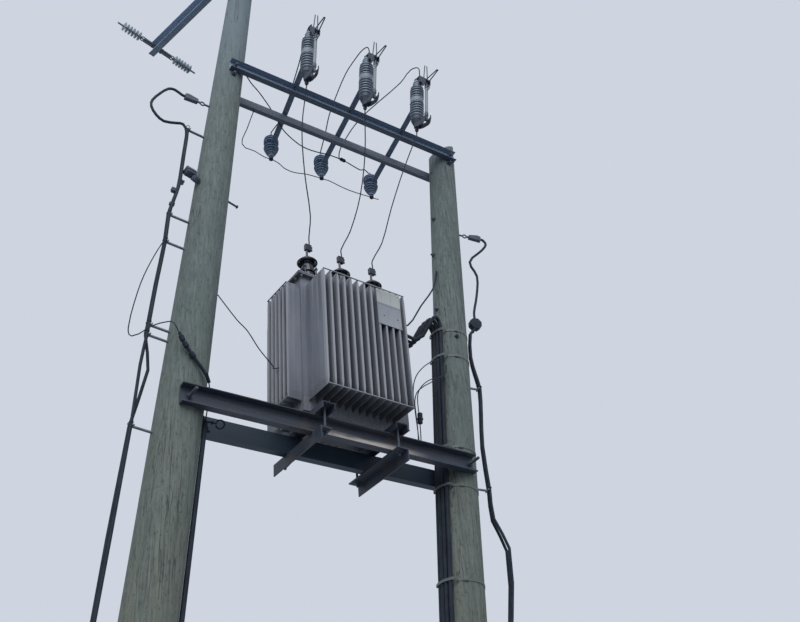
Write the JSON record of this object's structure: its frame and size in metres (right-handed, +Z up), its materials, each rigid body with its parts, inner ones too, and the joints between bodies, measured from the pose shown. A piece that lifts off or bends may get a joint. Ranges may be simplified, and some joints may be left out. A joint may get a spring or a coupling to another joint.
{
  "type": "pole mounted transformer",
  "caption": "Timber pole structure with a steel platform, finned transformer, drop-out fuse cut-outs, surge arresters and service cables.",
  "frame": {"origin": "centre of the left pole's foot, where its axis meets the ground", "axes": "+X along the platform beams from the left pole to the right pole, +Y away from the front, +Z up"},
  "size_m": [3.4562, 2.5829, 10.1556],
  "materials": {
    "weathered_timber": "weathered, grey-green, with drying checks",
    "rusty_dark_steel": "dark paint with rust",
    "grey_paint": "light grey paint, streaked with dirt",
    "blue_grey_steel": "dull blue-grey",
    "brown_porcelain": "glazed, dark brown",
    "dark_polymer": "matt",
    "grey_porcelain": "glazed, dusty",
    "dark_metal": "dull, weathered",
    "grey_fibreglass": "satin, weathered",
    "pale_plate": "plain, no marking",
    "galvanised_steel": "galvanised, dull",
    "black_cable": "matt black sheath"
  },
  "bodies": {
    "structure": {"left_pole": "weathered_timber", "right_pole": "weathered_timber", "front_platform_beam": "rusty_dark_steel", "rear_platform_beam": "rusty_dark_steel", "platform_bolts": "galvanised_steel", "left_clamp_angle": "rusty_dark_steel", "right_clamp_angle": "rusty_dark_steel", "hold_down_rods": "dark_metal", "left_skid": "rusty_dark_steel", "right_skid": "rusty_dark_steel", "tank_body": "grey_paint", "tank_cover": "grey_paint", "front_fins": "grey_paint", "rear_fins": "grey_paint", "left_fins": "grey_paint", "right_fins": "grey_paint", "hv_bushing_1": "brown_porcelain", "hv_bushing_2": "brown_porcelain", "hv_bushing_3": "brown_porcelain", "lv_bushings": "brown_porcelain", "blank_plate": "pale_plate", "front_crossarm": "blue_grey_steel", "rear_crossarm": "blue_grey_steel", "crossarm_bolts": "galvanised_steel", "cutout_bracket_1": "blue_grey_steel", "cutout_bracket_2": "blue_grey_steel", "cutout_bracket_3": "blue_grey_steel", "cutout_insulator_1": "grey_porcelain", "cutout_insulator_2": "grey_porcelain", "cutout_insulator_3": "grey_porcelain", "cutout_top_contact_1": "dark_metal", "cutout_top_contact_2": "dark_metal", "cutout_top_contact_3": "dark_metal", "cutout_hinge_1": "dark_metal", "cutout_hinge_2": "dark_metal", "cutout_hinge_3": "dark_metal", "surge_arrester_1": "dark_polymer", "surge_arrester_2": "dark_polymer", "surge_arrester_3": "dark_polymer", "hv_jumpers": "black_cable", "arrester_leads": "black_cable", "arrester_earth_wire": "black_cable", "lv_cables": "black_cable", "riser_straps": "galvanised_steel", "right_standoffs": "galvanised_steel", "right_cable_bundle": "black_cable", "left_standoffs": "galvanised_steel", "left_cable_bundle": "black_cable", "left_earth_cable": "black_cable", "line_leads": "black_cable", "earth_and_neutral_wires": "black_cable", "dead_end_clamps": "dark_metal", "cable_connector": "dark_metal", "line_arm": "blue_grey_steel", "line_arm_bolt": "galvanised_steel", "strain_insulators": "grey_porcelain"},
    "fuse_tube_1_body": {"fuse_tube_1": "grey_fibreglass"},
    "fuse_tube_2_body": {"fuse_tube_2": "grey_fibreglass"},
    "fuse_tube_3_body": {"fuse_tube_3": "grey_fibreglass"}
  },
  "joints": [
    {"name": "fuse_drop_1", "type": "hinge", "parent": "structure", "child": "fuse_tube_1_body", "pos_m": [1.13739, -0.63006, 8.08773], "axis": [0.9962, -0.0872, 0], "range_deg": [0, 150]},
    {"name": "fuse_drop_2", "type": "hinge", "parent": "structure", "child": "fuse_tube_2_body", "pos_m": [1.72312, -0.6324, 8.08666], "axis": [1, -0.0087, 0], "range_deg": [0, 150]},
    {"name": "fuse_drop_3", "type": "hinge", "parent": "structure", "child": "fuse_tube_3_body", "pos_m": [2.26555, -0.63242, 8.08658], "axis": [1, 0, 0], "range_deg": [0, 150]}
  ]
}
